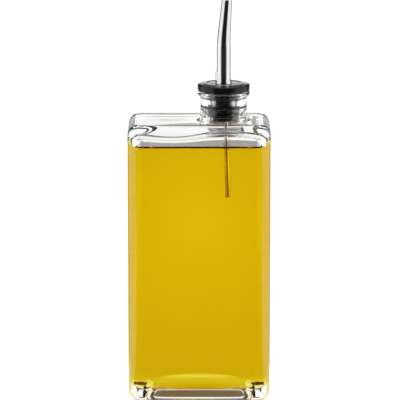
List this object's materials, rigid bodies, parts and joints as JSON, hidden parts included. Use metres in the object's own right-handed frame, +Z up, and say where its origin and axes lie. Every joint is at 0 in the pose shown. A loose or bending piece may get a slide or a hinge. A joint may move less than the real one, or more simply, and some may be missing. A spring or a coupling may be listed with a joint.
{
  "type": "oil dispenser bottle",
  "caption": "Flat rectangular clear glass bottle of golden oil with an off-centre neck, black ribbed stopper, bent steel pour spout and a breather tube reaching into the oil.",
  "frame": {"origin": "on the surface that the bottle stands on, under the middle of its body", "axes": "+Z up; the broad front faces -Y; the neck stands nearer the +X side"},
  "size_m": [0.087, 0.054, 0.2459],
  "materials": {
    "clear_glass": "clear, thick and smooth, with a faint green tint in its edges",
    "golden_oil": "clear golden yellow oil",
    "black_plastic": "smooth moulded, satin to gloss",
    "polished_steel": "polished stainless"
  },
  "bodies": {
    "root": {"bottle": "clear_glass", "oil": "golden_oil", "stopper": "black_plastic", "spout": "polished_steel", "breather_tube": "polished_steel"}
  },
  "joints": []
}
